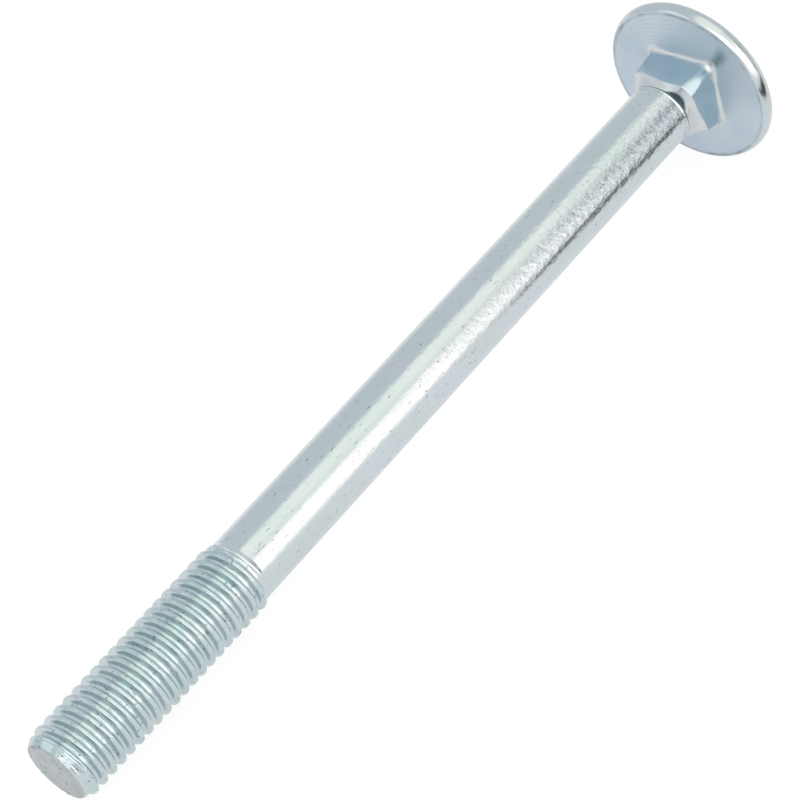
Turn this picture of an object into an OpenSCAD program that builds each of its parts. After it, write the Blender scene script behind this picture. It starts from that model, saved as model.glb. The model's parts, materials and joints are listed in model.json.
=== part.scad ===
// Mushroom-head carriage bolt with a square neck, nominally M8 x 100.
// One forged piece: domed head, square neck, plain shank and a rolled end.
// The bolt lies on its side, on the rim of its head and the end of its
// thread. The origin is on its axis, in the plane of the bearing face under
// the head. +X runs from the tip towards the head, +Z is up. Millimetres.

/* [Head] */
// Diameter of the head at its widest
head_d = 19.7; // [16:0.1:24]
// Height of the head above its bearing face
head_h = 4.5; // [3.6:0.1:6]
// Radius of the rounded rim of the head
rim_r = 1.15; // [0.9:0.05:1.5]
// Height of the widest part of the rim above the bearing face
rim_mid_h = 0.85; // [0.3:0.05:1.1]

/* [Neck] */
// Width of the square neck across its flats
neck_w = 7.8; // [7.2:0.1:10]
// Length of the neck, from the bearing face to the end of the hollow
neck_len = 5.15; // [3.6:0.05:7]
// Radius of the neck's four long edges
neck_edge_r = 0.5; // [0.2:0.05:1]
// Radius of the fillet between the neck and the bearing face
neck_fillet_r = 0.3; // [0.15:0.05:0.6]
// How far each corner falls in towards the axis by its foot
corner_fall = 0.6; // [0.2:0.05:1]
// Radius of the hollow between the shoulder cone and the shank
root_hollow_r = 1.3; // [0.3:0.05:2]
// Width of the fine bead that the die leaves round the end of the neck
die_bead_w = 0.25; // [0.1:0.05:0.6]
// Height of that bead above the shank
die_bead_h = 0.05; // [0.02:0.01:0.1]

/* [Shank] */
// Length of the bolt under the head
bolt_len = 101; // [50:1:200]
// Diameter of the plain shank
shank_d = 7.1; // [6.5:0.05:7.4]

/* [Thread] */
// Outer diameter of the thread
thread_d = 7.9; // [7.6:0.01:8]
// Length of the threaded end
thread_len = 26.2; // [12:0.1:40]
// Length over which the thread runs out into the shank
runout_len = 2.8; // [0.5:0.1:6]
// Diameter of the flat end face
tip_d = 6.7; // [5.5:0.1:7.2]
// Length of the chamfer at the tip
tip_len = 1.1; // [0.4:0.1:2]

/* [Hidden] */
$fn = 96;

// Radii of the round parts
head_r = head_d / 2;
shank_r = shank_d / 2;
thread_r = thread_d / 2;
tip_r = tip_d / 2;

// Rim: its round section is centred this far from the axis
rim_centre_r = head_r - rim_r;
// Where the round of the rim meets the flat bearing face
rim_foot_r = rim_centre_r + sqrt(pow(rim_r, 2) - pow(rim_mid_h, 2));

// Dome: a sphere through the top of the head that is tangent to the rim.
// Its centre lies on the axis, and dome_rise is its top above rim_mid_h.
dome_rise = head_h - rim_mid_h;
dome_r = (pow(rim_centre_r, 2) + pow(dome_rise, 2) - pow(rim_r, 2))
    / (2 * (dome_rise - rim_r));
dome_centre_h = head_h - dome_r;
// Angle from the bearing plane of the normal where rim and dome touch
dome_touch_a = atan2(rim_mid_h - dome_centre_h, rim_centre_r);
dome_touch_r = dome_r * cos(dome_touch_a);
dome_touch_h = dome_centre_h + dome_r * sin(dome_touch_a);

// Neck: the rounded corners lie this far from the axis, next to the head
neck_edge_at = neck_w / 2 - neck_edge_r;
corner_top_r = neck_edge_at * sqrt(2) + neck_edge_r;
corner_foot_r = corner_top_r - corner_fall;

// Hollow: its tangent length in the 135 degree corner at the cone's root
hollow_reach = root_hollow_r * tan(45 / 2);
// Shoulder: a 45 degree cone from each corner's foot in to the shank, which
// falls along the axis as much as it comes in
shoulder_root_at = neck_len - hollow_reach;
corner_foot_at = shoulder_root_at - (corner_foot_r - shank_r);
// Bead: the circle that gives its width and height on the shank
die_bead_r = (pow(die_bead_w / 2, 2) + pow(die_bead_h, 2)) / (2 * die_bead_h);

// Places along the axis, measured from the bearing face towards the tip
thread_start_at = bolt_len - thread_len;
thread_full_at = thread_start_at + runout_len;
tip_chamfer_at = bolt_len - tip_len;

// Lie: a floor under the bolt touches the round of the rim and the edge of
// the thread's chamfer. The bolt's axis then rises towards the head.
lie_run = tip_chamfer_at + rim_mid_h;
lie_rise = rim_centre_r - thread_r;
lie_angle = atan2(lie_rise, lie_run)
    + asin(rim_r / norm([lie_run, lie_rise]));

// Overlap that joins solids that would only touch
weld = 0.2;

// A quarter-round hollow of radius r in the corner between +X and +Y
module hollow_corner(r) {
    difference() {
        square(r);
        translate([r, r]) circle(r);
    }
}

// Half section of the head: X is the radius, Y the height over the face
module head_section() {
    polygon([
        [0, 0],
        [rim_foot_r, 0],
        [rim_centre_r, rim_mid_h],
        [dome_touch_r, dome_touch_h],
        [0, dome_touch_h]
    ]);
    // Rounded rim, kept above the bearing face
    intersection() {
        translate([rim_centre_r, rim_mid_h]) circle(rim_r);
        translate([rim_centre_r - rim_r, 0]) square(2 * rim_r);
    }
    // Cap of the dome, above the circle where it touches the rim
    intersection() {
        translate([0, dome_centre_h]) circle(dome_r, $fn = 4 * $fn);
        translate([0, dome_touch_h]) square([dome_touch_r, head_h]);
    }
}

module head() {
    rotate_extrude() head_section();
}

// Square section of the neck, with rounded long edges
module neck_square() {
    square([neck_w, 2 * neck_edge_at], center = true);
    square([2 * neck_edge_at, neck_w], center = true);
    for (x = [-neck_edge_at, neck_edge_at], y = [-neck_edge_at, neck_edge_at])
        translate([x, y]) circle(neck_edge_r);
}

// Half section that the die leaves round the neck: corners that fall away,
// then the shoulder cone, then the hollow into the shank
module neck_section() {
    polygon([
        [0, weld],
        [corner_top_r + weld, weld],
        [corner_top_r + weld, -neck_fillet_r],
        [corner_top_r, -neck_fillet_r],
        [corner_foot_r, -corner_foot_at],
        [shank_r, -shoulder_root_at],
        [shank_r, -neck_len],
        [0, -neck_len]
    ]);
    // Hollow that blends the cone into the shank
    difference() {
        polygon([
            [shank_r, -shoulder_root_at],
            [shank_r, -shoulder_root_at - hollow_reach],
            [
                shank_r + hollow_reach * cos(45),
                -shoulder_root_at + hollow_reach * sin(45)
            ]
        ]);
        translate([shank_r + root_hollow_r, -shoulder_root_at - hollow_reach])
            circle(root_hollow_r);
    }
}

module neck() {
    intersection() {
        translate([0, 0, -neck_len]) linear_extrude(neck_len + weld) neck_square();
        rotate_extrude() neck_section();
    }
}

// Fillet between the neck's four sides and the bearing face
module neck_fillet() {
    for (turn = [0:90:270]) rotate(turn) {
        translate([neck_edge_at, neck_edge_at]) mirror([0, 0, 1])
            rotate_extrude(angle = 90)
                translate([neck_edge_r, 0]) hollow_corner(neck_fillet_r);
        translate([neck_w / 2, neck_edge_at]) rotate([90, 0, 0])
            linear_extrude(2 * neck_edge_at) mirror([0, 1])
                hollow_corner(neck_fillet_r);
    }
}

// Half section of the shank, the thread's outer envelope and the tip
module shank_section() {
    polygon([
        [0, -neck_len + weld],
        [shank_r, -neck_len + weld],
        [shank_r, -thread_start_at],
        [thread_r, -thread_full_at],
        [thread_r, -tip_chamfer_at],
        [tip_r, -bolt_len],
        [0, -bolt_len]
    ]);
    // Bead that the die leaves
    translate([shank_r + die_bead_h - die_bead_r, -neck_len]) circle(die_bead_r);
}

module shank() {
    rotate_extrude() shank_section();
}

// The whole bolt, lying as it comes to rest
module carriage_bolt() {
    color("silver") rotate([0, -lie_angle, 0]) rotate([0, 90, 0]) {
        head();
        neck();
        neck_fillet();
        shank();
    }
}

carriage_bolt();
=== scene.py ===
"""Zinc-plated carriage bolt lying on a pale studio floor, drawn over its CAD frame.

The whole bolt is one forged and rolled piece, so its skin is strung as one closed mesh: end face, rolled
thread, plain shank, square neck, bearing face, rim and dome. Lengths are in millimetres until the mesh is
made, and in metres from there on.
"""

import json
import logging
import math
from dataclasses import dataclass, field
from enum import Enum
from typing import Any

import bpy
import numpy as np
from mathutils import Matrix, Vector


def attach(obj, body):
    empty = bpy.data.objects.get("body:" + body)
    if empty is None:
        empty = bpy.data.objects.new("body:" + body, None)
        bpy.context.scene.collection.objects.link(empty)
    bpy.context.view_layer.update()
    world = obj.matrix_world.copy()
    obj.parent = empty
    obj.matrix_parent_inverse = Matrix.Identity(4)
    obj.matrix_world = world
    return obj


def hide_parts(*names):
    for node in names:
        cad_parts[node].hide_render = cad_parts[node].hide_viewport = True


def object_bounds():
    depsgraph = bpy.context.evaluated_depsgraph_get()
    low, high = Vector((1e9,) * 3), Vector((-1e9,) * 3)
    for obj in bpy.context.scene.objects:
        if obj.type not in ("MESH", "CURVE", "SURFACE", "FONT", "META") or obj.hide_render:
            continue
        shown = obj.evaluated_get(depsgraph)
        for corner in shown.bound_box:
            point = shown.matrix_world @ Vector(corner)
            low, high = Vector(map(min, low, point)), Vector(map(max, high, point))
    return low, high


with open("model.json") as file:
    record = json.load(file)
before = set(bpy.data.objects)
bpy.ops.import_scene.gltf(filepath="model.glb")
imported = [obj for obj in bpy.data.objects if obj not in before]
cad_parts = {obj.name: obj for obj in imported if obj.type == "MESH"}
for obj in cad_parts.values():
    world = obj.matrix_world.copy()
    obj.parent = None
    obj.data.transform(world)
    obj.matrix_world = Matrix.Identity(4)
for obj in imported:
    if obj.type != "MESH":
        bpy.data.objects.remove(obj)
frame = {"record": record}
CAD_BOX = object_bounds()

LOG = logging.getLogger("carriage_bolt")
BOLT_NODE = "carriage_bolt"
BODY = "root"
# Metres in a millimetre, and millimetres in a micrometre
MM = 0.001
UM = 0.001
FULL_TURN = 2.0 * math.pi
QUARTER_TURN = 0.5 * math.pi
EIGHTH_TURN = 0.25 * math.pi
NECK_CORNERS_DEG = (45.0, 135.0, 225.0, 315.0)
# Layers of the mesh: the skin's own map, and the share of a darker tint that holds painted shade, a painted
# reflection and real marks
SKIN_MAP = "skin"
SHADE_AND_MARK_SHARE = "shade_and_mark_share"
# Sockets of a Mix node that is set to colours
MIX_SHARE = 0
MIX_FROM = 6
MIX_TO = 7
MIX_RESULT = 2


class Zone(Enum):
    """Stretches of the bolt's skin that were made in different ways."""

    END_FACE = 0
    THREAD = 1
    SHANK = 2
    NECK = 3
    UNDERSIDE = 4
    RIM = 5
    SHOULDER = 6


class Pattern(Enum):
    """Kinds of relief in a finish."""

    GRAIN = "soft grain, even or stretched along the bolt"
    RINGS = "rings round the bolt's axis"
    FOLD = "line along the thread's crest"


def srgb_to_linear(code: str) -> tuple[float, float, float, float]:
    """Turns an sRGB hex colour into the linear colour that shaders take.

    Args:
        code: colour as "#rrggbb".

    Returns:
        Linear red, green and blue, with an alpha of 1.
    """
    linear = []
    for start in (1, 3, 5):
        value = int(code[start : start + 2], 16) / 255.0
        linear.append(value / 12.92 if value <= 0.04045 else ((value + 0.055) / 1.055) ** 2.4)
    return (linear[0], linear[1], linear[2], 1.0)


def add_node(
    tree: bpy.types.NodeTree,
    kind: str,
    values: dict[Any, Any] | None = None,
    links: dict[Any, bpy.types.NodeSocket] | None = None,
    **settings: Any,
) -> bpy.types.Node:
    """Adds a node with its settings, socket values and incoming links.

    Args:
        tree: node tree that takes the node.
        kind: Blender's name for the node type.
        values: values of input sockets, by name or number.
        links: sockets that feed input sockets, by name or number.
        settings: the node's own settings.

    Returns:
        The new node.
    """
    node = tree.nodes.new(kind)
    for name, value in settings.items():
        setattr(node, name, value)
    for name, value in (values or {}).items():
        node.inputs[name].default_value = value
    for name, socket in (links or {}).items():
        tree.links.new(socket, node.inputs[name])
    return node


def ease(value: np.ndarray | float) -> np.ndarray:
    """Goes smoothly from 0 to 1 while the value goes from 0 to 1."""
    held = np.clip(value, 0.0, 1.0)
    return held * held * (3.0 - 2.0 * held)


def beside(angle: np.ndarray, middle_deg: float, half_span_deg: float) -> np.ndarray:
    """Gives a window round one direction.

    Args:
        angle: angles round the axis, in radians.
        middle_deg: direction of the window's middle.
        half_span_deg: angle from its middle to its ends.

    Returns:
        Values from 1 in the middle to 0 at the ends and beyond.
    """
    off = np.abs((angle - math.radians(middle_deg) + math.pi) % FULL_TURN - math.pi)
    return ease(1.0 - off / math.radians(half_span_deg))


def soft_min(first: np.ndarray | float, second: np.ndarray, rounding: float) -> np.ndarray:
    """Takes the smaller of two sizes, with a rounded change from one to the other.

    Args:
        first: one size, in mm.
        second: the other size, in mm.
        rounding: how far below both the result lies where they are equal, in mm.

    Returns:
        The smaller size, a little less near the change.
    """
    gap = first - second
    return first - 0.5 * (gap + np.sqrt(gap**2 + 4.0 * rounding**2))


@dataclass(frozen=True)
class Wander:
    """An uneven value round the bolt, the same each time, from a few waves of whole turns."""

    turns: tuple[int, ...]
    shifts: tuple[float, ...]

    def at(self, angle: np.ndarray) -> np.ndarray:
        """Gives values from -1 to 1, one for each angle in radians."""
        total = sum(np.sin(count * angle + shift) for count, shift in zip(self.turns, self.shifts))
        return total / len(self.turns)


@dataclass(frozen=True)
class BoltAxis:
    """The line that the bolt is turned about, with its up and side directions."""

    along: Vector
    up: Vector
    side: Vector

    @classmethod
    def from_record(cls, record: dict[str, Any]) -> "BoltAxis":
        """Takes the axis from the bearing face's mount.

        Args:
            record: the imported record.

        Returns:
            The axis, with up square to it in the upright plane and side level.
        """
        mount = next(item for item in record["mounts"] if item["name"] == "bearing_face")
        along = -Vector(mount["axis"]).normalized()
        side = along.cross(Vector((0.0, 0.0, 1.0))).normalized()
        return cls(along, side.cross(along).normalized(), side)

    def lie_angle(self) -> float:
        """Gives the angle, in radians, at which the axis rises towards the head."""
        return math.atan2(self.along.z, self.along.x)

    def place(self, along: np.ndarray, radius: np.ndarray, angle: np.ndarray) -> np.ndarray:
        """Places points given round the axis.

        Args:
            along: distance from the bearing face towards the head, in mm.
            radius: distance from the axis, in mm.
            angle: angle from up towards side, in radians.

        Returns:
            One row of x, y and z in metres for each point.
        """
        reach_up = (radius * np.cos(angle))[:, None] * np.array(self.up)
        reach_side = (radius * np.sin(angle))[:, None] * np.array(self.side)
        return (along[:, None] * np.array(self.along) + reach_up + reach_side) * MM


@dataclass(frozen=True)
class Ring:
    """One closed line round the bolt. The skin is strung from ring to ring.

    Dull is 0 where the zinc keeps its tint and 1 where a darker tint is laid over it: painted shade in the
    recess and along the head's fold line, a painted reflection of the neck's corner, and real turning marks.
    """

    along: np.ndarray
    radius: np.ndarray
    zone: Zone
    dull: np.ndarray | float = 0.0

    @classmethod
    def round(cls, angle: np.ndarray, along: float, radius: float, zone: Zone) -> "Ring":
        """Makes a ring that is level and round."""
        return cls(np.full_like(angle, along), np.full_like(angle, radius), zone)


@dataclass(frozen=True)
class ShankStock:
    """Sizes that the thread, the shank and the neck share, in mm."""

    shank_r: float = 3.55
    bolt_len: float = 101.0
    thread_start: float = -74.8
    neck_end: float = -5.15


@dataclass(frozen=True)
class EndFace:
    """Flat end of the wire, as the cropping shear leaves it."""

    stock: ShankStock
    face_r: float = 3.35
    ring_count: int = 9
    edge_break: float = 0.05

    def rings(self, angle: np.ndarray) -> list[Ring]:
        """Strings the face from near its middle to its edge.

        Args:
            angle: angles round the axis, in radians.

        Returns:
            The face's rings, middle first.
        """
        rings = []
        for step in range(1, self.ring_count + 1):
            radius = step / self.ring_count * (self.face_r - self.edge_break)
            rings.append(Ring.round(angle, -self.stock.bolt_len, radius, Zone.END_FACE))
        return rings


@dataclass(frozen=True)
class RolledThread:
    """Right-hand thread that two dies roll into the end of the wire."""

    stock: ShankStock
    crest_r: float = 3.95
    pitch: float = 1.25
    depth: float = 0.55
    flank_width: float = 0.34
    flank_power: float = 1.6
    crest_width: float = 0.22
    root_round: float = 0.04
    runout_len: float = 1.6
    bare_runout: float = 0.9
    first_crest: float = -79.056
    tip_r: float = 3.35
    tip_len: float = 1.1
    start_fade: float = 1.5
    rings_per_pitch: int = 21
    crest_unevenness: float = 0.02
    crest_wander: Wander = Wander((3, 7, 11), (0.3, 1.9, 4.1))
    crest_drift: float = 0.37
    start_height: float = 0.45
    burr: float = 0.12
    burr_wander: Wander = Wander((2, 5, 9, 17), (0.9, 2.7, 0.2, 1.4))

    def drop(self, along: np.ndarray, angle: np.ndarray) -> np.ndarray:
        """Gives how far the thread lies below its crest.

        Args:
            along: distance from the bearing face, in mm.
            angle: angles round the axis, in radians.

        Returns:
            Depth below the crest in mm, with a flat crest, convex flanks and a rounded root.
        """
        phase = (along - self.first_crest) / self.pitch - angle / FULL_TURN
        off_crest = np.abs(phase - np.round(phase)) * self.pitch
        flank = np.maximum(off_crest - 0.5 * self.crest_width, 0.0) / self.flank_width
        return soft_min(self.depth, self.depth * flank**self.flank_power, self.root_round)

    def radius(self, along: float, angle: np.ndarray) -> np.ndarray:
        """Gives the thread's radius at one place along the bolt.

        Args:
            along: distance from the bearing face, in mm.
            angle: angles round the axis, in radians.

        Returns:
            Radius in mm for each angle.
        """
        stock = self.stock
        from_tip = along + stock.bolt_len
        cut = self.crest_r - self.drop(np.full_like(angle, along), angle)
        uneven = self.crest_wander.at(angle + along / self.pitch * self.crest_drift)
        cut = cut - self.crest_unevenness * 0.5 * (1.0 + uneven)
        formed = ease((stock.thread_start - along) / self.runout_len)
        started = self.start_height + (1.0 - self.start_height) * ease(from_tip / self.start_fade)
        radius = stock.shank_r + formed * started * (cut - stock.shank_r)
        chamfer = self.tip_r + from_tip / self.tip_len * (self.crest_r - self.tip_r)
        chamfer = chamfer - self.burr * 0.5 * (1.0 + self.burr_wander.at(angle))
        return np.minimum(radius, chamfer)

    def rings(self, angle: np.ndarray) -> list[Ring]:
        """Strings the thread from the end face to the plain shank.

        Args:
            angle: angles round the axis, in radians.

        Returns:
            The thread's rings, tip first.
        """
        start = -self.stock.bolt_len
        length = self.stock.thread_start - start
        count = round(length / self.pitch * self.rings_per_pitch)
        rings = []
        for step in range(count + 1):
            along = start + length * step / count
            zone = Zone.SHANK if along > self.stock.thread_start - self.bare_runout else Zone.THREAD
            rings.append(Ring(np.full_like(angle, along), self.radius(along, angle), zone))
        return rings


@dataclass(frozen=True)
class PlainShank:
    """Drawn wire between the thread and the neck, at its full size."""

    stock: ShankStock
    ring_count: int = 24
    bead_width: float = 0.3
    bead_height: float = 0.08
    bead_lines: tuple[float, ...] = (0.2, 0.35, 0.5, 0.65, 0.8)
    end_lines: tuple[float, ...] = (0.05, 0.15, 0.5)

    def rings(self, angle: np.ndarray) -> list[Ring]:
        """Strings the shank and the fine bead that the die leaves at its end.

        Args:
            angle: angles round the axis, in radians.

        Returns:
            The shank's rings, thread end first.
        """
        stock = self.stock
        bead_start = stock.neck_end - 0.5 * self.bead_width
        evenly = np.linspace(stock.thread_start, bead_start, self.ring_count + 1)[1:-1]
        # Lines close to both ends keep the shading of the shank flat right up to them
        close = np.array(self.end_lines)
        places = [evenly, stock.thread_start + close, bead_start - close, [bead_start]]
        outline = [(along, 0.0) for along in np.sort(np.concatenate(places))]
        for share in self.bead_lines:
            rise = self.bead_height * math.sin(share * math.pi)
            outline.append((bead_start + share * self.bead_width, rise))
        return [Ring.round(angle, along, stock.shank_r + rise, Zone.SHANK) for along, rise in outline]


@dataclass(frozen=True)
class SquareNeck:
    """Square neck under the head, with corners that fall away to a shoulder."""

    stock: ShankStock
    width: float = 7.8
    edge_r: float = 1.0
    fillet_r: float = 0.4
    fillet_unevenness: float = 0.4
    fillet_wander: Wander = Wander((3, 8, 17), (1.2, 0.1, 2.2))
    fillet_corner: float = 0.4
    fillet_corner_span_deg: float = 26.0
    crease_middle: float = -3.0
    crease_sway: float = -1.2
    crease_deepest_deg: float = 20.0
    petal_start: float = -1.0
    petal_power: float = 0.85
    petal_skew: float = 0.4
    foot_r: float = 4.7
    petal_round: float = 0.04
    hollow_power: float = 1.6
    # The recess under the shoulder: cut into it, and painted dark as painted shade
    recess_middle_deg: float = 47.0
    recess_half_span_deg: float = 38.0
    recess_at: float = 0.12
    recess_swing: float = 0.26
    recess_half_width: float = 0.05
    recess_swell: float = 0.2
    recess_blur: float = 0.07
    recess_depth: float = 0.26
    shoulder_rings: int = 26
    flat_rings: int = 26
    fillet_rings: int = 7

    def square(self, angle: np.ndarray) -> np.ndarray:
        """Gives the radius of the rounded square.

        Args:
            angle: angles round the axis, in radians.

        Returns:
            Radius in mm for each angle.
        """
        half = 0.5 * self.width
        edge = self.edge_r
        core = half - edge
        folded = np.abs((angle + EIGHTH_TURN) % QUARTER_TURN - EIGHTH_TURN)
        flat = half / np.cos(folded)
        reach = core * math.sqrt(2.0)
        lean = EIGHTH_TURN - folded
        inside = np.maximum(edge**2 - (reach * np.sin(lean)) ** 2, 0.0)
        corner = reach * np.cos(lean) + np.sqrt(inside)
        return np.where(half * np.tan(folded) <= core, flat, corner)

    def fillet(self, angle: np.ndarray) -> np.ndarray:
        """Gives the radius of the fillet under the head, which is uneven and grows at the corners.

        Args:
            angle: angles round the axis, in radians.

        Returns:
            Radius of the fillet in mm for each angle.
        """
        corner = sum(beside(angle, middle, self.fillet_corner_span_deg) for middle in NECK_CORNERS_DEG)
        even = 1.0 + self.fillet_unevenness * self.fillet_wander.at(angle)
        return self.fillet_r * even + self.fillet_corner * corner

    def crease(self, angle: np.ndarray) -> np.ndarray:
        """Gives where the flats end, which isn't level: the dies closed a little unevenly."""
        return self.crease_middle + self.crease_sway * np.cos(angle - math.radians(self.crease_deepest_deg))

    def side(self, angle: np.ndarray, along: np.ndarray) -> np.ndarray:
        """Gives the radius of the square stretch, with corners that fall away in petals.

        Args:
            angle: angles round the axis, in radians.
            along: distance from the bearing face, in mm.

        Returns:
            Radius in mm for each angle.
        """
        square = self.square(angle)
        top_r = (0.5 * self.width - self.edge_r) * math.sqrt(2.0) + self.edge_r
        share = np.clip((along - self.petal_start) / (self.crease(angle) - self.petal_start), 0.0, 1.0)
        lean = (angle + EIGHTH_TURN) % QUARTER_TURN - EIGHTH_TURN
        off_corner = np.where(lean > 0.0, lean - EIGHTH_TURN, lean + EIGHTH_TURN)
        fall = top_r - self.foot_r + self.petal_skew * np.sin(2.0 * off_corner)
        turned = top_r + 2.0 * self.petal_round - fall * share**self.petal_power
        return soft_min(turned, square, self.petal_round)

    def recess(self, angle: np.ndarray, along: np.ndarray) -> np.ndarray:
        """Gives how far a place is into the recess under the shoulder.

        The recess is a thin line that swells to a crescent on one side.

        Args:
            angle: angles round the axis, in radians.
            along: distance from the bearing face, in mm.

        Returns:
            Values from 0 outside the recess to 1 in it.
        """
        swell = beside(angle, self.recess_middle_deg, self.recess_half_span_deg)
        middle = self.stock.neck_end + self.recess_at + self.recess_swing * swell
        half_width = self.recess_half_width + self.recess_swell * swell
        return ease(0.5 + (half_width - np.abs(along - middle)) / self.recess_blur)

    def rings(self, angle: np.ndarray) -> list[Ring]:
        """Strings the hollow shoulder, the flats and the fillet.

        Args:
            angle: angles round the axis, in radians.

        Returns:
            The neck's rings, shank end first.
        """
        stock = self.stock
        crease = self.crease(angle)
        foot = self.side(angle, crease)
        fillet = self.fillet(angle)
        rings = []
        for step in range(self.shoulder_rings + 1):
            share = step / self.shoulder_rings
            place = stock.neck_end + (crease - stock.neck_end) * share
            radius = stock.shank_r + (foot - stock.shank_r) * share**self.hollow_power
            recess = self.recess(angle, place)
            depth = self.recess_depth * beside(angle, self.recess_middle_deg, self.recess_half_span_deg)
            # The recess share also paints the recess dark: painted shade
            rings.append(Ring(place, radius - depth * recess, Zone.SHOULDER, recess))
        for step in range(1, self.flat_rings + 1):
            share = step / self.flat_rings
            place = crease + (-fillet - crease) * share
            rings.append(Ring(place, self.side(angle, place), Zone.NECK))
        top = self.side(angle, -fillet)
        for step in range(1, self.fillet_rings + 1):
            turn = QUARTER_TURN * step / self.fillet_rings
            place = -fillet * (1.0 - math.sin(turn))
            rings.append(Ring(place, top + fillet * (1.0 - math.cos(turn)), Zone.SHOULDER))
        return rings


@dataclass(frozen=True)
class MushroomHead:
    """Low domed head with a flat bearing face and a rounded rim."""

    neck: SquareNeck
    head_r: float = 9.85
    height: float = 4.5
    rim_r: float = 1.15
    rim_mid: float = 0.85
    face_rings: int = 26
    rim_rings: int = 22
    dome_rings: int = 30
    # The fold line: cut shallowly into the face, and darkened as painted shade
    fold_depth: float = 0.05
    fold_width: float = 0.16
    fold_share: float = 0.55
    fold_unevenness: float = 0.45
    fold_wander: Wander = Wander((2, 5, 13, 29), (2.0, 0.4, 1.1, 3.0))
    # A dark band painted on the bearing face out from the neck's corner: a painted reflection of the corner
    painted_reflection_deg: tuple[float, float] = (46.0, 42.0)
    painted_reflection_width_deg: float = 9.0
    painted_reflection_strength: float = 0.8
    painted_reflection_fade: float = 1.5
    mark_every: int = 3
    mark_strength: float = 0.12
    mark_middle_deg: float = -35.0
    mark_half_span_deg: float = 75.0

    def rings(self, angle: np.ndarray) -> list[Ring]:
        """Strings the bearing face, the rim and the dome.

        Args:
            angle: angles round the axis, in radians.

        Returns:
            The head's rings, neck first.
        """
        centre_r = self.head_r - self.rim_r
        foot_r = centre_r + math.sqrt(self.rim_r**2 - self.rim_mid**2)
        return self.bearing_face(angle, foot_r) + self.rim_and_dome(angle, centre_r, foot_r)

    def bearing_face(self, angle: np.ndarray, foot_r: float) -> list[Ring]:
        """Strings the face that bears on the timber, with a shallow fold line near its edge that is painted
        with shade.

        Args:
            angle: angles round the axis, in radians.
            foot_r: radius at which the face meets the rim, in mm.

        Returns:
            The face's rings, neck first.
        """
        fillet = self.neck.fillet(angle)
        inner = self.neck.side(angle, -fillet) + fillet
        uneven = self.fold_share + self.fold_unevenness * self.fold_wander.at(angle)
        uneven = np.clip(uneven, 0.0, 1.0)
        marked = self.mark_strength * beside(angle, self.mark_middle_deg, self.mark_half_span_deg)
        painted_reflection_start, painted_reflection_end = self.painted_reflection_deg
        rings = []
        for step in range(1, self.face_rings + 1):
            share = step / self.face_rings
            radius = inner + (foot_r - inner) * share
            fold = np.exp(-(((foot_r - self.fold_width - radius) / self.fold_width) ** 2))
            # Painted reflection: a dark band running out from the neck's corner towards the rim
            middle = painted_reflection_start + (painted_reflection_end - painted_reflection_start) * share
            painted_reflection = beside(angle, middle, self.painted_reflection_width_deg) * self.painted_reflection_strength
            painted_reflection = painted_reflection * ease(self.painted_reflection_fade * (1.0 - share))
            mark = marked if step % self.mark_every == 0 else 0.0
            # Dull share: the painted reflection, real turning marks, and painted shade in the fold line
            dull = np.clip(painted_reflection + mark + fold * uneven**2, 0.0, 1.0)
            rings.append(Ring(self.fold_depth * fold * uneven, radius, Zone.UNDERSIDE, dull))
        return rings

    def rim_and_dome(self, angle: np.ndarray, centre_r: float, foot_r: float) -> list[Ring]:
        """Strings the rounded rim and the low dome.

        Args:
            angle: angles round the axis, in radians.
            centre_r: radius at which the rim's round section is centred, in mm.
            foot_r: radius at which the rim starts, in mm.

        Returns:
            The rim's and the dome's rings, bearing face first.
        """
        rise = self.height - self.rim_mid
        dome_r = (centre_r**2 + rise**2 - self.rim_r**2) / (2.0 * (rise - self.rim_r))
        dome_centre = self.height - dome_r
        start = math.atan2(-self.rim_mid, foot_r - centre_r)
        touch = math.atan2(self.rim_mid - dome_centre, centre_r)
        outline = []
        for step in range(1, self.rim_rings + 1):
            turn = start + (touch - start) * step / self.rim_rings
            place = self.rim_mid + self.rim_r * math.sin(turn)
            outline.append((place, centre_r + self.rim_r * math.cos(turn)))
        for step in range(1, self.dome_rings):
            turn = touch + (QUARTER_TURN - touch) * step / self.dome_rings
            outline.append((dome_centre + dome_r * math.sin(turn), dome_r * math.cos(turn)))
        return [Ring.round(angle, place, radius, Zone.RIM) for place, radius in outline]


@dataclass(frozen=True)
class Relief:
    """One layer of fine relief in a finish. Without a length of its own, its grain is even."""

    pattern: Pattern
    depth_um: float
    across_mm: float
    along_mm: float | None = None
    detail: float = 2.0
    fade_mm: tuple[float, float] | None = None
    fade_floor: float = 0.3


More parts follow.
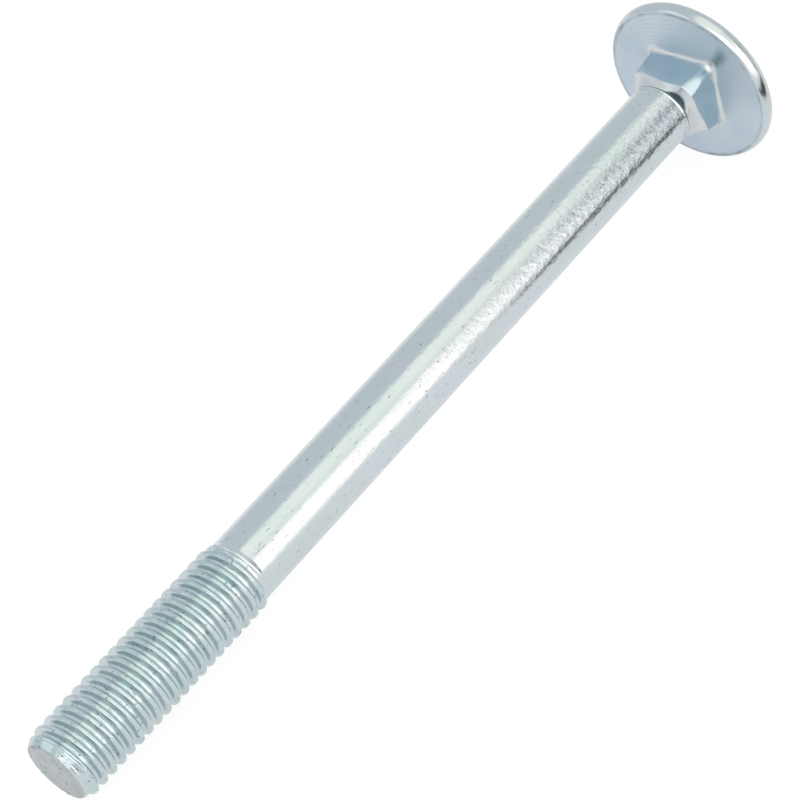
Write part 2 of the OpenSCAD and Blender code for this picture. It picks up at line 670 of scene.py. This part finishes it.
@dataclass(frozen=True)
class ZincPlate:
    """Bright zinc plate with a blue passivation, on steel formed in one way or another.

    The plating bath copies the steel under it, so the same zinc is smooth and streaky on drawn wire and
    softer and cloudier on forged faces. The passivation film gives it a faint blue or green cast.
    """

    name: str
    tint: str
    cloud_tint: str
    cloud_mm: float
    roughness: float
    reliefs: tuple[Relief, ...]
    roughness_spread: float = 0.05
    cloud_detail: float = 3.0
    cloud_range: tuple[float, float] = (0.35, 0.65)
    speck_tint: str = "#8d9394"
    speck_mm: tuple[float, float] = (0.5, 0.3)
    speck_cover: float = 0.0
    speck_detail: float = 4.0
    speck_raggedness: float = 0.6
    speck_level: float = 0.78
    speck_reach: float = 0.2
    speck_edge: float = 0.08
    # Tint laid over the finish by the mesh's dull share: painted shade, painted reflection and real marks
    shade_and_mark_tint: str | None = None

    def make(self, axis: BoltAxis) -> bpy.types.Material:
        """Makes the finish's material.

        Args:
            axis: the bolt's axis, which the grain follows.

        Returns:
            The material.
        """
        material = bpy.data.materials.new(self.name)
        material.use_nodes = True
        tree = material.node_tree
        tree.nodes.clear()
        place = add_node(tree, "ShaderNodeTexCoord").outputs["Object"]
        turned = add_node(
            tree,
            "ShaderNodeMapping",
            values={"Rotation": (0.0, axis.lie_angle(), 0.0)},
            links={"Vector": place},
        ).outputs["Vector"]
        clouds = add_node(
            tree,
            "ShaderNodeTexNoise",
            values={"Scale": 1.0 / (self.cloud_mm * MM), "Detail": self.cloud_detail},
            links={"Vector": turned},
        ).outputs["Fac"]
        gloss = add_node(
            tree,
            "ShaderNodeMapRange",
            values={
                "To Min": self.roughness - self.roughness_spread,
                "To Max": self.roughness + self.roughness_spread,
            },
            links={"Value": clouds},
        ).outputs["Result"]
        bump = add_node(
            tree,
            "ShaderNodeBump",
            values={"Strength": 1.0, "Distance": MM},
            links={"Height": self.height(tree, turned)},
        ).outputs["Normal"]
        shader = add_node(
            tree,
            "ShaderNodeBsdfPrincipled",
            values={"Metallic": 1.0},
            links={"Base Color": self.colour(tree, turned, clouds), "Roughness": gloss, "Normal": bump},
        ).outputs["BSDF"]
        add_node(tree, "ShaderNodeOutputMaterial", links={"Surface": shader})
        return material

    def colour(
        self, tree: bpy.types.NodeTree, turned: bpy.types.NodeSocket, clouds: bpy.types.NodeSocket
    ) -> bpy.types.NodeSocket:
        """Mixes the zinc's two tints, and lays the specks and the dull places over them.

        Args:
            tree: the material's node tree.
            turned: place on the bolt, turned so that X runs along its axis.
            clouds: soft noise that the two tints follow.

        Returns:
            The socket with the colour.
        """
        low, high = self.cloud_range
        spread = add_node(
            tree, "ShaderNodeMapRange", values={"From Min": low, "From Max": high}, links={"Value": clouds}
        ).outputs["Result"]
        colour = add_node(
            tree,
            "ShaderNodeMix",
            values={MIX_FROM: srgb_to_linear(self.tint), MIX_TO: srgb_to_linear(self.cloud_tint)},
            links={MIX_SHARE: spread},
            data_type="RGBA",
        ).outputs[MIX_RESULT]
        layers = []
        if self.speck_cover > 0.0:
            layers.append((self.specks(tree, turned), self.speck_tint))
        if self.shade_and_mark_tint is not None:
            # Dull share from the mesh: painted shade, a painted reflection and real marks
            dull = add_node(tree, "ShaderNodeAttribute", attribute_name=SHADE_AND_MARK_SHARE).outputs["Fac"]
            layers.append((dull, self.shade_and_mark_tint))
        for share, tint in layers:
            colour = add_node(
                tree,
                "ShaderNodeMix",
                values={MIX_TO: srgb_to_linear(tint)},
                links={MIX_SHARE: share, MIX_FROM: colour},
                data_type="RGBA",
            ).outputs[MIX_RESULT]
        return colour

    def specks(self, tree: bpy.types.NodeTree, turned: bpy.types.NodeSocket) -> bpy.types.NodeSocket:
        """Adds scattered dull specks, where the zinc is pitted or rubbed.

        Args:
            tree: the material's node tree.
            turned: place on the bolt, turned so that X runs along its axis.

        Returns:
            A socket that is 1 in the middle of a speck and 0 between them.
        """
        along, across = (1.0 / (size * MM) for size in self.speck_mm)
        place = add_node(
            tree, "ShaderNodeMapping", values={"Scale": (along, across, across)}, links={"Vector": turned}
        ).outputs["Vector"]
        noise = add_node(
            tree,
            "ShaderNodeTexNoise",
            values={"Scale": 1.0, "Detail": self.speck_detail, "Roughness": self.speck_raggedness},
            links={"Vector": place},
        ).outputs["Fac"]
        level = self.speck_level - self.speck_reach * self.speck_cover
        return add_node(
            tree,
            "ShaderNodeMapRange",
            values={"From Min": level, "From Max": level + self.speck_edge},
            links={"Value": noise},
            interpolation_type="SMOOTHSTEP",
        ).outputs["Result"]

    def height(self, tree: bpy.types.NodeTree, turned: bpy.types.NodeSocket) -> bpy.types.NodeSocket:
        """Adds up the finish's layers of relief.

        Args:
            tree: the material's node tree.
            turned: place on the bolt, turned so that X runs along its axis.

        Returns:
            The socket with the height in mm.
        """
        total = None
        for relief in self.reliefs:
            if relief.pattern is Pattern.FOLD:
                layer = self.fold_height(tree, relief)
            else:
                layer = self.grain_height(tree, relief, turned)
            if relief.fade_mm is not None:
                layer = self.faded(tree, relief, turned, layer)
            if total is not None:
                layer = add_node(
                    tree, "ShaderNodeMath", links={0: total, 1: layer}, operation="ADD"
                ).outputs["Value"]
            total = layer
        return total

    def faded(
        self,
        tree: bpy.types.NodeTree,
        relief: Relief,
        turned: bpy.types.NodeSocket,
        layer: bpy.types.NodeSocket,
    ) -> bpy.types.NodeSocket:
        """Lets a layer of relief grow from one place along the bolt to another.

        Args:
            tree: the material's node tree.
            relief: the layer, with the two places.
            turned: place on the bolt, turned so that X runs along its axis.
            layer: the layer's height.

        Returns:
            The socket with the height that is left.
        """
        weak, full = relief.fade_mm
        parts = add_node(tree, "ShaderNodeSeparateXYZ", links={"Vector": turned}).outputs
        share = add_node(
            tree,
            "ShaderNodeMapRange",
            values={"From Min": weak * MM, "From Max": full * MM, "To Min": relief.fade_floor, "To Max": 1.0},
            links={"Value": parts["X"]},
        ).outputs["Result"]
        return add_node(
            tree, "ShaderNodeMath", links={0: layer, 1: share}, operation="MULTIPLY"
        ).outputs["Value"]

    def fold_height(self, tree: bpy.types.NodeTree, relief: Relief) -> bpy.types.NodeSocket:
        """Adds the fine line that follows the thread's crest.

        Args:
            tree: the material's node tree.
            relief: the layer.

        Returns:
            The socket with the layer's height in mm.
        """
        # The skin's own map: U is the place along the bolt in mm, V the share of a turn
        skin = add_node(tree, "ShaderNodeUVMap", uv_map=SKIN_MAP).outputs["UV"]
        parts = add_node(tree, "ShaderNodeSeparateXYZ", links={"Vector": skin}).outputs
        pitch = RolledThread.pitch
        lead = add_node(
            tree,
            "ShaderNodeMath",
            values={1: 1.0 / pitch, 2: -RolledThread.first_crest / pitch},
            links={0: parts["X"]},
            operation="MULTIPLY_ADD",
        ).outputs["Value"]
        phase = add_node(
            tree, "ShaderNodeMath", links={0: lead, 1: parts["Y"]}, operation="SUBTRACT"
        ).outputs["Value"]
        # How far it is to the nearest crest, in pitches
        near = add_node(
            tree, "ShaderNodeMath", values={1: 0.5}, links={0: phase}, operation="PINGPONG"
        ).outputs["Value"]
        return add_node(
            tree,
            "ShaderNodeMapRange",
            values={
                "From Min": 0.0,
                "From Max": relief.across_mm / pitch,
                "To Min": -relief.depth_um * UM,
                "To Max": 0.0,
            },
            links={"Value": near},
            interpolation_type="SMOOTHSTEP",
        ).outputs["Result"]

    def grain_height(
        self, tree: bpy.types.NodeTree, relief: Relief, turned: bpy.types.NodeSocket
    ) -> bpy.types.NodeSocket:
        """Adds one layer of grain, or of rings round the axis.

        Args:
            tree: the material's node tree.
            relief: the layer.
            turned: place on the bolt, turned so that X runs along its axis.

        Returns:
            The socket with the layer's height in mm.
        """
        across = 1.0 / (relief.across_mm * MM)
        if relief.pattern is Pattern.RINGS:
            flat = add_node(
                tree,
                "ShaderNodeVectorMath",
                values={1: (0.0, 1.0, 1.0)},
                links={0: turned},
                operation="MULTIPLY",
            ).outputs["Vector"]
            reach = add_node(
                tree, "ShaderNodeVectorMath", links={0: flat}, operation="LENGTH"
            ).outputs["Value"]
            outward = add_node(tree, "ShaderNodeCombineXYZ", links={"X": reach}).outputs["Vector"]
            place = add_node(
                tree,
                "ShaderNodeVectorMath",
                values={"Scale": across},
                links={0: outward},
                operation="SCALE",
            ).outputs["Vector"]
        else:
            along = across if relief.along_mm is None else 1.0 / (relief.along_mm * MM)
            place = add_node(
                tree,
                "ShaderNodeMapping",
                values={"Scale": (along, across, across)},
                links={"Vector": turned},
            ).outputs["Vector"]
        grain = add_node(
            tree,
            "ShaderNodeTexNoise",
            values={"Scale": 1.0, "Detail": relief.detail},
            links={"Vector": place},
        ).outputs["Fac"]
        return add_node(
            tree,
            "ShaderNodeMath",
            values={1: relief.depth_um * UM},
            links={0: grain},
            operation="MULTIPLY",
        ).outputs["Value"]


# Drawn wire: the drawing die polishes the steel along its length, so the zinc mirrors the room in long
# straight bands. Draw lines and thin dull specks break up their edges all along, and a coarser grain does
# towards the head. Draw lines are finer than 0.1 mm and are drawn 0.22 mm wide, and the grain and the specks
# are larger than a plated wire's would be, so that they show.
DRAWN = ZincPlate(
    name="bright_zinc_plate_on_drawn_wire",
    tint="#ced5dc",
    cloud_tint="#cad4d8",
    cloud_mm=6.0,
    roughness=0.2,
    reliefs=(
        Relief(Pattern.GRAIN, depth_um=4.0, across_mm=0.22, along_mm=4.0),
        Relief(
            Pattern.GRAIN, depth_um=48.0, across_mm=0.45, along_mm=0.7, detail=4.0, fade_mm=(-60.0, -20.0)
        ),
    ),
    speck_mm=(0.9, 0.22),
    speck_cover=0.78,
)

# Rolled thread: the dies burnish the flanks and leave a fine fold along each crest, where the metal that
# they push up from both sides meets. A soft grain makes the bright lines waver, and small grey-green specks
# are left where the zinc is thin. Both are coarser and deeper than real ones, so that they show.
ROLLED = ZincPlate(
    name="bright_zinc_plate_on_rolled_thread",
    tint="#c9d4d9",
    cloud_tint="#bdced2",
    cloud_mm=2.5,
    roughness=0.18,
    reliefs=(
        Relief(Pattern.FOLD, depth_um=18.0, across_mm=0.06),
        Relief(Pattern.GRAIN, depth_um=30.0, across_mm=0.6, along_mm=0.4, detail=4.0),
    ),
    speck_tint="#64797a",
    speck_mm=(0.35, 0.35),
    speck_cover=0.85,
)

# Cold-forged neck: the flats are pressed smooth and take a stronger blue passivation film. They are drawn
# with a coarse, soft grain, so that their mirrored light is gently uneven.
PRESSED = ZincPlate(
    name="blue_passivated_zinc_on_forged_neck",
    tint="#bed1da",
    cloud_tint="#b2cad7",
    cloud_mm=3.0,
    roughness=0.3,
    reliefs=(Relief(Pattern.GRAIN, depth_um=14.0, across_mm=0.7, detail=3.0),),
)

# Cold-forged bearing face: upset against a turned die, whose faint rings it keeps. It looks matt and pale
# blue, with a few turning marks where the film is thin, painted shade along its fold line and a dark band
# painted out from the neck's corner as that corner's reflection. A die's real turning marks are finer than
# 0.1 mm and are drawn 0.35 mm apart.
UPSET = ZincPlate(
    name="blue_passivated_zinc_on_upset_face",
    tint="#d0dae4",
    cloud_tint="#c8d4e0",
    cloud_mm=5.0,
    roughness=0.56,
    roughness_spread=0.06,
    reliefs=(
        Relief(Pattern.RINGS, depth_um=22.0, across_mm=0.35),
        Relief(Pattern.GRAIN, depth_um=8.0, across_mm=0.6, detail=3.0),
    ),
    shade_and_mark_tint="#748c94",
)

# Dome and rim: formed freely in the heading die, smooth with a slight orange peel.
HEADED = ZincPlate(
    name="bright_zinc_plate_on_forged_head",
    tint="#cbd1d8",
    cloud_tint="#c7cfd2",
    cloud_mm=6.0,
    roughness=0.2,
    reliefs=(Relief(Pattern.GRAIN, depth_um=3.0, across_mm=0.7),),
)

# Shoulder and fillet of the neck: the metal flows freely here, so the zinc is whiter and softer, with a
# grain that is drawn coarse. The recess beside the shank is painted dark, as the shade that falls in it.
FLOWED = ZincPlate(
    name="soft_zinc_plate_on_flowed_metal",
    tint="#d6dadd",
    cloud_tint="#d0d6da",
    cloud_mm=2.0,
    roughness=0.38,
    roughness_spread=0.06,
    reliefs=(Relief(Pattern.GRAIN, depth_um=16.0, across_mm=0.5, detail=3.0),),
    # Tint of the painted shade in the recess
    shade_and_mark_tint="#475961",
)

# Cropped end: the shear leaves the steel rough and torn, and the zinc on it is dull, with dark specks in
# the tears. Both are drawn coarser than a shear's real marks, so that they show.
CROPPED = ZincPlate(
    name="dull_zinc_plate_on_sheared_end",
    tint="#c0c5c8",
    cloud_tint="#b4babd",
    cloud_mm=1.5,
    roughness=0.42,
    roughness_spread=0.08,
    reliefs=(Relief(Pattern.GRAIN, depth_um=40.0, across_mm=0.5, detail=4.0),),
    speck_tint="#6c7376",
    speck_mm=(0.6, 0.5),
    speck_cover=0.9,
)

ZONE_FINISHES = {
    Zone.END_FACE: CROPPED,
    Zone.THREAD: ROLLED,
    Zone.SHANK: DRAWN,
    Zone.NECK: PRESSED,
    Zone.UNDERSIDE: UPSET,
    Zone.RIM: HEADED,
    Zone.SHOULDER: FLOWED,
}


@dataclass(frozen=True)
class AngleSteps:
    """Angles at which each ring has its points, closer together at the neck's corners."""

    corner_span_deg: float = 36.0
    corner_steps: int = 24
    flat_steps: int = 12

    def angles(self) -> np.ndarray:
        """Gives the angles of one full turn, in radians."""
        half_span = 0.5 * self.corner_span_deg
        corner = np.linspace(-half_span, half_span, self.corner_steps, endpoint=False)
        flat = np.linspace(half_span, 90.0 - half_span, self.flat_steps, endpoint=False)
        quarter = np.concatenate([corner, flat]) + 45.0
        return np.radians(np.concatenate([quarter + 90.0 * turn for turn in range(4)]))


@dataclass
class CarriageBolt:
    """The whole bolt: end face, thread, shank, neck and head in one closed skin."""

    axis: BoltAxis
    stock: ShankStock = field(default_factory=ShankStock)
    steps: AngleSteps = field(default_factory=AngleSteps)

    def rings(self, angle: np.ndarray) -> list[Ring]:
        """Gathers the rings of every stretch.

        Args:
            angle: angles round the axis, in radians.

        Returns:
            All the rings, tip first.
        """
        neck = SquareNeck(self.stock)
        parts = (
            EndFace(self.stock), RolledThread(self.stock), PlainShank(self.stock), neck, MushroomHead(neck)
        )
        return [ring for part in parts for ring in part.rings(angle)]

    def build(self) -> bpy.types.Object:
        """Strings the skin and closes it at the middle of the end face and of the dome.

        Returns:
            The bolt's object, undressed.
        """
        angle = self.steps.angles()
        rings = self.rings(angle)
        around = len(angle)
        points = [self.axis.place(ring.along, ring.radius, angle) for ring in rings]
        centre = np.zeros(1)
        ends = (rings[0].along[:1], np.array([MushroomHead.height]))
        points += [self.axis.place(end, centre, centre) for end in ends]
        tip = len(rings) * around
        crown = tip + 1
        last = (len(rings) - 1) * around
        # Share of a full turn at each step and at the step after it
        here = angle / FULL_TURN
        there = np.append(here[1:], here[0] + 1.0)
        after = [(step + 1) % around for step in range(around)]
        faces: list[tuple[int, ...]] = []
        zones: list[int] = []
        skin: list[tuple[float, float]] = []
        for number, (low, high) in enumerate(zip(rings, rings[1:])):
            start = number * around
            for step in range(around):
                behind = start + step
                ahead = start + after[step]
                faces.append((behind, ahead, ahead + around, behind + around))
                zones.append(high.zone.value)
                skin.append((low.along[step], here[step]))
                skin.append((low.along[after[step]], there[step]))
                skin.append((high.along[after[step]], there[step]))
                skin.append((high.along[step], here[step]))
        for step in range(around):
            faces.append((tip, after[step], step))
            faces.append((crown, last + step, last + after[step]))
            zones += [Zone.END_FACE.value, Zone.RIM.value]
            skin += [(0.0, here[step])] * 6
        mesh = bpy.data.meshes.new("carriage_bolt_skin")
        mesh.from_pydata(np.concatenate(points).tolist(), [], faces)
        mesh.polygons.foreach_set("material_index", zones)
        mesh.polygons.foreach_set("use_smooth", [True] * len(faces))
        layer = mesh.uv_layers.new(name=SKIN_MAP)
        layer.data.foreach_set("uv", np.array(skin, dtype=np.float32).ravel())
        # Each ring's dull share: painted shade, a painted reflection and real marks
        shares = [np.broadcast_to(ring.dull, angle.shape) for ring in rings] + [np.zeros(len(ends))]
        dull = mesh.attributes.new(SHADE_AND_MARK_SHARE, "FLOAT", "POINT")
        dull.data.foreach_set("value", np.concatenate(shares).astype(np.float32))
        mesh.update()
        bolt = bpy.data.objects.new("carriage_bolt_skin", mesh)
        bpy.context.scene.collection.objects.link(bolt)
        return bolt

    def dress(self, bolt: bpy.types.Object) -> None:
        """Gives every zone its finish, in the order of the zones' numbers.

        Args:
            bolt: the bolt's object.
        """
        for zone in Zone:
            bolt.data.materials.append(ZONE_FINISHES[zone].make(self.axis))


# Watts a square metre at which an area lamp mirrors as white
WHITE_WATTS = 4.0
# Planes that the lamps and the cards stand in, in metres
SIDE_Y = -0.6
FRONT_X = -0.25
CARD_FLOOR_Z = -0.0095
CARD_FOOT = -0.009


class CardPlane(Enum):
    """Ways in which a card is put up."""

    SIDE = "upright along the side, measured along X and up"
    FRONT = "upright before the tip, measured along Y and up"
    FLOOR = "flat on the floor, measured along X and Y"


@dataclass(frozen=True)
class Softbox:
    """A rectangular studio light, placed by its middle and turned to a target, in metres."""

    name: str
    centre: tuple[float, float, float]
    target: tuple[float, float, float]
    width: float
    height: float
    glow: float
    tint: str = "#ffffff"

    def build(self) -> None:
        """Hangs the light. The glow is its brightness, where 1 mirrors as white."""
        lamp = bpy.data.lights.new(self.name, "AREA")
        lamp.shape = "RECTANGLE"
        lamp.size = self.width
        lamp.size_y = self.height
        lamp.energy = WHITE_WATTS * self.width * self.height * self.glow
        lamp.color = srgb_to_linear(self.tint)[:3]
        light = bpy.data.objects.new(self.name, lamp)
        light.location = self.centre
        aim = Vector(self.target) - Vector(self.centre)
        light.rotation_euler = aim.to_track_quat("-Z", "Y").to_euler()
        bpy.context.scene.collection.objects.link(light)


@dataclass(frozen=True)
class Flag:
    """A black card that stands out of view and gives the metal a dark edge to mirror."""

    name: str
    plane: CardPlane
    corners: tuple[tuple[float, float], ...]
    tint: str = "#202020"

    def places(self) -> list[tuple[float, float, float]]:
        """Gives the corners' places in the room, in metres."""
        if self.plane is CardPlane.SIDE:
            return [(along, SIDE_Y, up) for along, up in self.corners]
        if self.plane is CardPlane.FRONT:
            return [(FRONT_X, aside, up) for aside, up in self.corners]
        return [(along, aside, CARD_FLOOR_Z) for along, aside in self.corners]

    def build(self) -> None:
        """Puts the card up and hides it from the camera."""
        mesh = bpy.data.meshes.new(self.name)
        mesh.from_pydata(self.places(), [], [tuple(range(len(self.corners)))])
        card = bpy.data.objects.new(self.name, mesh)
        # Black felt: matt, so that it mirrors nothing itself
        material = bpy.data.materials.new("black_felt_card")
        material.use_nodes = True
        shader = material.node_tree.nodes["Principled BSDF"]
        shader.inputs["Base Color"].default_value = srgb_to_linear(self.tint)
        shader.inputs["Roughness"].default_value = 1.0
        shader.inputs["Specular IOR Level"].default_value = 0.0
        mesh.materials.append(material)
        card.visible_camera = False
        card.visible_diffuse = False
        card.visible_shadow = False
        bpy.context.scene.collection.objects.link(card)


ORIGIN = (0.0, 0.0, 0.0)
SIDE_TINT = "#ffeadb"
TOP_TINT = "#fff8d7"
LAMPS = (
    Softbox(
        "side_softbox", (-0.05, SIDE_Y, 0.26), (-0.05, 0.0, 0.26), width=0.78, height=0.52, glow=0.85,
        tint=SIDE_TINT,
    ),
    Softbox(
        "side_softbox_end", (0.385, SIDE_Y, 0.22), (0.385, 0.0, 0.22), width=0.09, height=0.44, glow=0.08,
        tint=SIDE_TINT,
    ),
    Softbox(
        "corner_softbox", (0.32, SIDE_Y, 0.56), (0.32, 0.0, 0.56), width=0.24, height=0.08, glow=0.85,
        tint=SIDE_TINT,
    ),
    Softbox("front_softbox", (-0.42, -0.42, 0.48), ORIGIN, width=0.6, height=0.5, glow=0.6),
    Softbox("back_softbox", (-0.42, 0.36, 0.45), ORIGIN, width=0.4, height=0.4, glow=0.3),
    Softbox(
        "top_softbox", (-0.15, -0.3, 0.6), (-0.15, -0.3, 0.0), width=1.1, height=0.7, glow=0.3, tint=TOP_TINT
    ),
    Softbox(
        "top_softbox_end", (0.05, -0.14, 0.61), (0.05, -0.14, 0.0), width=1.5, height=0.38, glow=0.1,
        tint=TOP_TINT,
    ),
)
CARDS = (
    Flag(
        "flag_upper", CardPlane.SIDE, ((0.50, 0.54), (0.57, 0.32), (0.66, 0.34), (0.68, 0.72), (0.60, 0.70))
    ),
    Flag(
        "flag_side_foot", CardPlane.SIDE, ((0.43, CARD_FOOT), (0.6, CARD_FOOT), (0.6, 0.09), (0.45, 0.09))
    ),
    Flag(
        "flag_front", CardPlane.FRONT, ((-0.1, CARD_FOOT), (0.025, CARD_FOOT), (0.025, 0.035), (-0.1, 0.035))
    ),
    Flag(
        "flag_front_foot", CardPlane.FLOOR, ((FRONT_X, -0.1), (FRONT_X, 0.03), (-0.12, 0.01), (-0.12, -0.03))
    ),
    Flag(
        "flag_lower", CardPlane.FLOOR, ((-0.02, -0.03), (0.012, -0.028), (0.11, -0.095), (0.025, -0.09))
    ),
)


@dataclass(frozen=True)
class Viewpoint:
    """Where the camera stands, and how it is turned."""

    azimuth_deg: float = -40.646
    elevation_deg: float = 40.989
    roll_deg: float = -15.597
    distance: float = 0.253049
    focal_mm: float = 117.056
    film_mm: float = 36.0
    near_clip: float = 0.01
    aim_along: float = -50.692
    aim_aside: float = 0.159
    aside_deg: float = 129.96

    def build(self, axis: BoltAxis) -> None:
        """Sets the camera up and makes it the scene's own.

        Args:
            axis: the bolt's axis, which the aim is measured on.
        """
        azimuth = math.radians(self.azimuth_deg)
        elevation = math.radians(self.elevation_deg)
        back = Vector(
            (
                math.sin(azimuth) * math.cos(elevation),
                -math.cos(azimuth) * math.cos(elevation),
                math.sin(elevation),
            )
        )
        level = Vector((0.0, 0.0, 1.0)).cross(back).normalized()
        upright = back.cross(level)
        roll = math.radians(self.roll_deg)
        right = level * math.cos(roll) + upright * math.sin(roll)
        up = back.cross(right)
        aside = math.radians(self.aside_deg)
        aim_parts = (np.array([value]) for value in (self.aim_along, self.aim_aside, aside))
        aim = Vector(axis.place(*aim_parts)[0])
        lens = bpy.data.cameras.new("camera")
        lens.lens = self.focal_mm
        lens.sensor_width = self.film_mm
        lens.clip_start = self.near_clip
        lens.dof.use_dof = False
        camera = bpy.data.objects.new("camera", lens)
        turn = Matrix((right, up, back)).transposed().to_4x4()
        camera.matrix_world = Matrix.Translation(aim + back * self.distance) @ turn
        bpy.context.scene.collection.objects.link(camera)
        bpy.context.scene.camera = camera


@dataclass(frozen=True)
class Studio:
    """Pale floor, even room light, soft lamps and the cards beside them."""

    axis: BoltAxis
    floor_half: float = 3.0
    floor_tint: str = "#e7e7e7"
    floor_white: float = 1.1
    floor_glow_share: float = 0.8
    floor_mirrored_share: float = 0.55
    room_tint: str = "#f8feff"
    room_glow: float = 0.79

    def glow_share(self, tree: bpy.types.NodeTree) -> bpy.types.NodeSocket:
        """Adds the share of the floor's own white, seen directly or in metal or glass.

        Args:
            tree: node tree that takes the nodes.

        Returns:
            The socket with the share.
        """
        path = add_node(tree, "ShaderNodeLightPath").outputs
        direct = add_node(
            tree,
            "ShaderNodeMath",
            values={1: self.floor_glow_share},
            links={0: path["Is Camera Ray"]},
            operation="MULTIPLY",
        ).outputs["Value"]
        through = add_node(
            tree,
            "ShaderNodeMath",
            links={0: path["Is Glossy Ray"], 1: path["Is Transmission Ray"]},
            operation="MAXIMUM",
        ).outputs["Value"]
        return add_node(
            tree,
            "ShaderNodeMath",
            values={1: self.floor_mirrored_share},
            links={0: through, 2: direct},
            operation="MULTIPLY_ADD",
        ).outputs["Value"]

    def build_floor(self) -> None:
        """Lays the floor under the bolt. Part of its white is its own, and the rest takes the shadow."""
        lowest = CAD_BOX[0][2]
        half = self.floor_half
        corners = [(x * half, y * half, lowest) for x, y in ((-1, -1), (1, -1), (1, 1), (-1, 1))]
        mesh = bpy.data.meshes.new("floor")
        mesh.from_pydata(corners, [], [(0, 1, 2, 3)])
        floor = bpy.data.objects.new("floor", mesh)
        material = bpy.data.materials.new("white_paper_floor")
        material.use_nodes = True
        tree = material.node_tree
        tree.nodes.clear()
        paper = add_node(tree, "ShaderNodeBsdfDiffuse", values={"Color": srgb_to_linear(self.floor_tint)})
        glow = add_node(
            tree, "ShaderNodeEmission", values={"Color": (1.0, 1.0, 1.0, 1.0), "Strength": self.floor_white}
        )
        share = self.glow_share(tree)
        mixed = add_node(
            tree,
            "ShaderNodeMixShader",
            links={0: share, 1: paper.outputs["BSDF"], 2: glow.outputs["Emission"]},
        ).outputs["Shader"]
        add_node(tree, "ShaderNodeOutputMaterial", links={"Surface": mixed})
        mesh.materials.append(material)
        bpy.context.scene.collection.objects.link(floor)

    def build_room(self) -> None:
        """Fills the room with even, slightly cool light."""
        world = bpy.data.worlds.new("studio")
        world.use_nodes = True
        tree = world.node_tree
        tree.nodes.clear()
        sky = add_node(
            tree,
            "ShaderNodeBackground",
            values={"Color": srgb_to_linear(self.room_tint), "Strength": self.room_glow},
        ).outputs["Background"]
        add_node(tree, "ShaderNodeOutputWorld", links={"Surface": sky})
        bpy.context.scene.world = world

    def build(self) -> None:
        """Builds the room, the floor, the lamps and the cards."""
        self.build_room()
        self.build_floor()
        for item in LAMPS + CARDS:
            item.build()
        bpy.context.scene.view_settings.view_transform = "Standard"


def main() -> None:
    """Builds the studio and the bolt."""
    logging.basicConfig(level=logging.INFO, format="%(name)s: %(message)s")
    axis = BoltAxis.from_record(frame["record"])
    Viewpoint().build(axis)
    Studio(axis).build()
    bolt_maker = CarriageBolt(axis)
    bolt = bolt_maker.build()
    bolt_maker.dress(bolt)
    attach(bolt, BODY)
    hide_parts(BOLT_NODE)
    triangles = sum(len(face.vertices) - 2 for face in bolt.data.polygons)
    LOG.info("%s: %d triangles, rides on %s", bolt.name, triangles, BODY)


if __name__ == "__main__":
    main()
